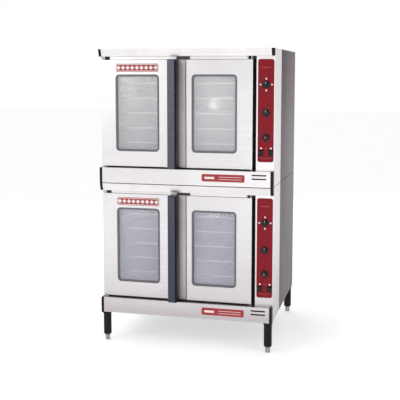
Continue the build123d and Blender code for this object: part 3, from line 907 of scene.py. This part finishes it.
pick(knob, flute)
bpy.ops.mesh.inset(thickness=0.25 * MM, depth=-0.9 * MM, use_individual=False)
leave_edit()
soften(knob, 0.35 * MM, 2, 30)
print("knob faces", len(knob.data.polygons))

# %% [markdown]
# The selector has a bar to grip across its front, the selector and thermostat a pale pointer line,
# and the timer a small cap in its middle.

# %% Grip, pointer line and cap
grip = block("grip", (-5 * MM, -33 * MM, -17 * MM), (5 * MM, -18 * MM, 17 * MM))
pick(grip, facing_front)
bpy.ops.transform.resize(value=(0.62, 1, 0.9))
leave_edit()
soften(grip, 1.6 * MM, 3)
pointer = block("pointer", (-0.9 * MM, -0.4 * MM, 0), (0.9 * MM, 0.6 * MM, 10 * MM))
soften(pointer, 0.3 * MM, 2)
cap = drum("cap", (0, 0, 0), 5.2 * MM, 3 * MM, 32)
pick(cap, facing_front)
bpy.ops.mesh.inset(thickness=1.4 * MM)
bpy.ops.transform.translate(value=(0, -0.7 * MM, 0))
leave_edit()
soften(cap, 0.3 * MM, 2, 30)

# %% Knobs on their shafts
knob_places = {}
for kind in KNOBS:
    node = f"lower_{kind}_knob"
    x, _, z = centre_of(node)
    knob_places[kind] = (x, z)
    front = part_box(node)[0][1]
    parts = [copy_to(knob, "dial", (x, front + 33.5 * MM, z))]
    if kind == "selector":
        parts.append(copy_to(grip, "grip", (x, front + 33.5 * MM, z)))
    both(join(parts, "dial"), f"{kind}_dial", kind, "black_plastic", black_plastic, f"{kind}_knob")
    if kind == "timer":
        dot = copy_to(cap, "cap", (x, front + 3.4 * MM, z))
        both(dot, f"{kind}_cap", kind, "black_plastic", print_faint)
    else:
        out, up = (0.5 * MM, 5 * MM) if kind == "selector" else (3.4 * MM, 3 * MM)
        line = copy_to(pointer, "line", (x, front + out, z + up))
        both(line, f"{kind}_line", kind, "black_plastic", print_white)
for pattern in (knob, grip, pointer, cap):
    discard(pattern)
print("knobs at", {kind: [round(v, 3) for v in place] for kind, place in knob_places.items()})

# %% [markdown]
# ## Printed panel
# The red panel is screen printed: four arrows round the selector, tick rings round the thermostat
# and the timer, a dot over each switch and a bow under them. Print is a skin of ink, so each mark
# is a slab a third of a millimetre thick with its edges rounded over. None of it is lettering.

# %% Arrow, dot and tick patterns
ink = 0.35 * MM
ink_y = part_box("control_panels")[0][1]
arrow = drum("arrow", (0, 0, 0), 7.6 * MM, ink, 3)
pick(arrow, lambda face: True)
bpy.ops.transform.resize(value=(0.85, 1, 1.15))
leave_edit()
soften(arrow, 0.9 * MM, 3, 50)
dot = drum("dot", (0, 0, 0), 5 * MM, ink, 24)
soften(dot, 0.1 * MM, 1, 50)
ticks = {}
for size, tall in (("long", 4.2 * MM), ("short", 2.6 * MM)):
    tick = block(f"{size} tick", (-0.6 * MM, -ink / 2, 0), (0.6 * MM, ink / 2, tall))
    ticks[size] = soften(tick, 0.1 * MM, 1)


def set_out(obj, angle, reach, centre):
    """A copy at reach from a centre (x, z), turned clockwise from upright as seen in front."""
    twin = obj.copy()
    twin.data = obj.data.copy()
    bpy.context.scene.collection.objects.link(twin)
    twin.rotation_euler = (0, angle, 0)
    x = centre[0] + reach * math.sin(angle)
    z = centre[1] + reach * math.cos(angle)
    twin.location = (x, ink_y, z)
    return apply_place(twin)


# %% Pale marks
switch_places = {}
white = []
for quarter in range(4):
    white.append(set_out(arrow, quarter * math.pi / 2, 31 * MM, knob_places["selector"]))
for kind in SWITCHES:
    x, _, z = centre_of(f"lower_{kind}_rocker")
    switch_places[kind] = (x, z)
    white.append(set_out(dot, 0, 26 * MM, (x, z)))
both(join(white, "print"), "panel_print", "oven_body", "red_panel", print_white)

# %% Faint marks
faint = []
for kind, reach, count, sweep in (("thermostat", 27 * MM, 13, 270), ("timer", 26 * MM, 11, 300)):
    for n in range(count):
        angle = math.radians(-sweep / 2 + sweep * n / (count - 1))
        tick = ticks["long" if n % 3 == 0 else "short"]
        faint.append(set_out(tick, angle, reach, knob_places[kind]))
x, z = knob_places["selector"]
lamp_z = switch_places["power"][1] + 26 * MM
for wide, middle in ((22 * MM, z + 89.5 * MM), (6 * MM, lamp_z)):
    rule = block(
        "rule",
        (x - wide, ink_y - ink / 2, middle - 1.5 * MM),
        (x + wide, ink_y + ink / 2, middle + 1.5 * MM),
    )
    faint.append(soften(rule, 0.1 * MM, 1))
print("faint marks", len(faint))

# %% [markdown]
# The bow under the switches is a small block whose end face is spun round a point above it. Spin
# can leave faces pointing inwards, so its normals are made consistent at the end.

# %% Bow
pivot = (x, ink_y, lamp_z - 4 * MM)
bow = block(
    "bow", (x - ink, ink_y - ink / 2, lamp_z - 56 * MM), (x, ink_y + ink / 2, lamp_z - 54 * MM)
)
pick(bow, lambda face: face.normal.x > 0.9)
bpy.ops.mesh.spin(steps=14, angle=math.radians(76), center=pivot, axis=(0, -1, 0))
leave_edit()
pick(bow, lambda face: True)
bpy.ops.mesh.normals_make_consistent(inside=False)
bpy.ops.transform.rotate(value=math.radians(38), orient_axis="Y", center_override=pivot)
leave_edit()
faint.append(bow)
both(join(faint, "ticks"), "panel_ticks", "oven_body", "red_panel", print_faint)
for pattern in (arrow, dot, *ticks.values()):
    discard(pattern)

# %% [markdown]
# ## Switch bezels
# A rocker switch snaps into its hole with a moulded frame. A slab as large as the frame is inset
# on its front and back, and the two inner faces are bridged, which opens it like a window.


# %% Window frames
def open_frame(name, low, high, width):
    """A flat frame: a slab whose front and back are inset, opened by bridging the inner faces."""
    slab = block(name, low, high)
    pick(slab, lambda face: abs(face.normal.y) > 0.9)
    bpy.ops.mesh.inset(thickness=width)
    bpy.ops.mesh.bridge_edge_loops()
    leave_edit()
    return slab


wide, tall, rim = 12.6 * MM, 17.9 * MM, 1.6 * MM
for kind, (x, z) in switch_places.items():
    bezel = open_frame(
        "bezel", (x - wide, ink_y - 1.6 * MM, z - tall), (x + wide, ink_y + MM, z + tall), rim
    )
    soften(bezel, 0.4 * MM, 2)
    both(bezel, f"{kind}_bezel", "oven_body", "black_plastic", black_plastic)
print("bezel", round(2 * wide, 4), "by", round(2 * tall, 4))

# %% [markdown]
# ## Plates
# Each section carries a red plate over its left window and another on its base. They have a plain
# pattern: a pale rim with a row of lozenges, and on the base plate a bar with two rules.

# %% Badge pattern
low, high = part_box("lower_door_badge")
thick = 0.5 * MM
edge = 3 * MM
pieces = [
    open_frame(
        "rim",
        (low[0] + edge, low[1] - thick, low[2] + edge),
        (high[0] - edge, low[1] + 0.2 * MM, high[2] - edge),
        edge,
    )
]
lozenge = drum("lozenge", (0, 0, 0), 12 * MM, thick + 0.2 * MM, 4)
soften(lozenge, 0.15 * MM, 1)
step = (high[0] - low[0] - 30 * MM) / 8
for n in range(9):
    place = (low[0] + 15 * MM + n * step, low[1] - thick / 2, (low[2] + high[2]) / 2)
    pieces.append(copy_to(lozenge, "lozenge", place))
discard(lozenge)
both(join(pieces, "pattern"), "badge_pattern", "left_door", "red_plate", print_white)

# %% Nameplate pattern
low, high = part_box("nameplates")
raised = (low[1] - 0.4 * MM, low[1] + 0.1 * MM)
fields = (
    (low[0] + 16 * MM, low[0] + 70 * MM, 14 * MM, 26 * MM),
    (low[0] + 94 * MM, high[0] - 16 * MM, 12 * MM, 14.2 * MM),
    (low[0] + 94 * MM, high[0] - 16 * MM, 25 * MM, 27.2 * MM),
)
bars = []
for left, right, bottom, top in fields:
    bar = block("bar", (left, raised[0], low[2] + bottom), (right, raised[1], low[2] + top))
    bars.append(soften(bar, 0.15 * MM, 1))
both(join(bars, "bars"), "nameplate_pattern", "oven_body", "red_plate", print_white)

# %% [markdown]
# ## Painted shadow under the doors
# A dark strip and two black lips run under the doors, low behind the front of each base trim, as
# painted shadow along the shaded ledge there. The lips ride on the doors. All are long blocks with
# one face pulled in or sunk.

# %% Sill shadow strip
low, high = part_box("lower_left_door_shell")
right_low, right_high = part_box("lower_right_door_shell")
ledge = low[2] - 8 * MM
shadow_front, shadow_back = -434 * MM, -411 * MM
shadow_height = 2.4 * MM
past_door = 14 * MM
# Painted shadow: a dark strip along the ledge under the doors.
sill_shadow = block(
    "sill_shadow", (low[0], shadow_front, ledge), (right_high[0] + past_door, shadow_back, ledge + shadow_height)
)
pick(sill_shadow, lambda face: face.normal.z > 0.9)
bpy.ops.transform.resize(value=(0.999, 0.7, 1))
bpy.ops.mesh.inset(thickness=2 * MM)
leave_edit()
soften(sill_shadow, 0.5 * MM, 2, 20)
both(sill_shadow, "sill_shadow_strip", "oven_body", "gasket_rubber", handle_black)

# %% Door shadow lips
hinge_gap, free_gap = 1.5 * MM, 60 * MM
lip_out, lip_in = 0.9 * MM, 0.3 * MM
lip_low, lip_high = 0.4 * MM, 7.5 * MM
reach = {
    "left": (low[0] + hinge_gap, high[0] - free_gap),
    "right": (right_low[0] + free_gap, right_high[0] - hinge_gap),
}
for side, (left, right) in reach.items():
    # Painted shadow: a black lip along the foot of each door.
    sweep = block(
        "sweep",
        (left, low[1] - lip_out, low[2] + lip_low),
        (right, low[1] + lip_in, low[2] + lip_high),
    )
    pick(sweep, facing_front)
    bpy.ops.mesh.inset(thickness=1.5 * MM)
    bpy.ops.transform.translate(value=(0, 0.4 * MM, 0))
    leave_edit()
    soften(sweep, 0.3 * MM, 2, 20)
    both(sweep, f"{side}_door_sweep", f"{side}_door", "gasket_rubber", handle_black)

# %% [markdown]
# ## Screws
# The back and the motor covers are held by hex washer-head screws. One screw is a round washer with
# a hexagon on it; it is copied along the edges, and the screws of one face are joined.

# %% One screw
screw = drum("screw", (0, -0.6 * MM, 0), 6 * MM, 1.2 * MM, 24)
hexagon = drum("hexagon", (0, -2.6 * MM, 0), 4.2 * MM, 3.6 * MM, 6)
pick(hexagon, facing_front)
bpy.ops.mesh.inset(thickness=0.8 * MM)
bpy.ops.transform.translate(value=(0, -0.4 * MM, 0))
leave_edit()
screw = join([screw, hexagon], "screw")
soften(screw, 0.2 * MM, 1, 40)
pick(screw, lambda face: True)
bpy.ops.transform.rotate(value=math.pi, orient_axis="Z", center_override=(0, 0, 0))
leave_edit()


def screws(name, places):
    """Copies of the screw, whose head faces backwards, joined into one settled piece."""
    pieces = [copy_to(screw, "screw", place) for place in places]
    settle(join(pieces, name), "oven_body", screw_zinc)
    print(name, len(places))


# %% Rows of screws
back_low, back_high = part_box("back_panels")
cover_low, cover_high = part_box("motor_covers")
back_y = back_high[1]
mid = (back_low[2] + back_high[2]) / 2
inset = 18 * MM
places = []
for column in range(5):
    x = back_low[0] + inset + column * (back_high[0] - back_low[0] - 2 * inset) / 4
    for z in (back_low[2] + inset, mid - inset, mid + inset, back_high[2] - inset):
        places.append((x, back_y, z))
for x in (back_low[0] + inset, back_high[0] - inset):
    for share in (0.3, 0.7, 1.3, 1.7):
        places.append((x, back_y, back_low[2] + share * (mid - back_low[2])))
screws("back_screws", places)

cover_tall = 400 * MM
places = []
for bottom in (cover_low[2], cover_high[2] - cover_tall):
    for x in (cover_low[0] + inset, cover_high[0] - inset):
        for z in (bottom + inset, bottom + cover_tall - inset):
            places.append((x, cover_high[1] - 4.8 * MM, z))
screws("cover_screws", places)
discard(screw)

# %% [markdown]
# ## Supply boxes
# Such an oven takes its supply through a small folded box low on the back, closed by a lid with a
# raised field. The outer face of a block is inset and moved in steps: a sunk ring for the shadow
# line, the lid, and the field on it. Two knockout plugs close the holes in its underside.

# %% Supply box
box_low = (0.20, back_y - MM, back_low[2] + 30 * MM)
box_high = (0.38, back_y + 34 * MM, back_low[2] + 150 * MM)
supply = block("supply", box_low, box_high)
pick(supply, lambda face: face.normal.y > 0.9)
for thickness, out in ((2, -2), (1.2, 3), (14, 0), (3, 2.4)):
    bpy.ops.mesh.inset(thickness=thickness * MM)
    bpy.ops.transform.translate(value=(0, out * MM, 0))
leave_edit()
soften(supply, 0.8 * MM, 2)
both(supply, "supply_box", "oven_body", "side_steel", back_steel)

# %% Knockout plugs
plug = drum("plug", (0, 0, 0), 14 * MM, 3 * MM, 32)
pick(plug, facing_front)
bpy.ops.mesh.inset(thickness=2.5 * MM)
bpy.ops.transform.translate(value=(0, 0.8 * MM, 0))
leave_edit()
soften(plug, 0.4 * MM, 2)
plug.rotation_euler = (math.pi / 2, 0, 0)
apply_place(plug)
plugs = []
for n in (1, 2):
    place = (box_low[0] + n * 60 * MM, back_y + 17 * MM, box_low[2] - 0.6 * MM)
    plugs.append(copy_to(plug, "plug", place))
discard(plug)
both(join(plugs, "plugs"), "supply_plugs", "oven_body", "foot_nickel", screw_zinc)

# %% [markdown]
# ## Legs
# Each leg has a painted collar where it meets the frame, and its foot has a hexagon for a spanner.

# %% Collars and foot hexagons
leg_low, leg_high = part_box("legs")
corners = []
for x in (leg_low[0] + 22 * MM, leg_high[0] - 22 * MM):
    for y in (leg_low[1] + 22 * MM, leg_high[1] - 22 * MM):
        corners.append((x, y))


def stand(name, radius, tall, sides, edge, height, finish):
    """An upright ring or nut modelled once and copied to the four legs."""
    pattern = drum(name, (0, 0, 0), radius, tall, sides)
    pattern.rotation_euler = (math.pi / 2, 0, 0)
    soften(apply_place(pattern), edge, 2)
    copies = [copy_to(pattern, name, (x, y, height)) for x, y in corners]
    discard(pattern)
    settle(join(copies, name), "oven_body", finish)


stand(
    "leg_collars",
    25 * MM,
    5 * MM,
    48,
    1.2 * MM,
    leg_high[2] - 6 * MM,
    black_paint,
)
stand("foot_hexagons", 15.2 * MM, 9 * MM, 6, 0.9 * MM, 24 * MM, foot_nickel)
print("legs", len(corners))

# %% [markdown]
# ## Floor
# A wide pale sheet of backdrop paper, with only a trace of unevenness.

# %% Floor
deselect_all()
bpy.ops.mesh.primitive_plane_add(size=60, location=(0, 0, 0))
paper = bpy.context.object
paper.name = "backdrop_paper"
paper_finish = Finish("backdrop paper").set(Roughness=0.8, Emission_Strength=0.46)
cloud = paper_finish.effect(marks, paper_finish.coords.outputs["Object"], Scale=1.5)
paper_colour = paper_finish.mix(cloud.outputs["Mask"], (0.94, 0.94, 0.94), (0.96, 0.96, 0.96))
paper_finish.colour(paper_colour)
paper_finish.link(paper_colour, paper_finish.shader, "Emission Color")
coat(paper, paper_finish)
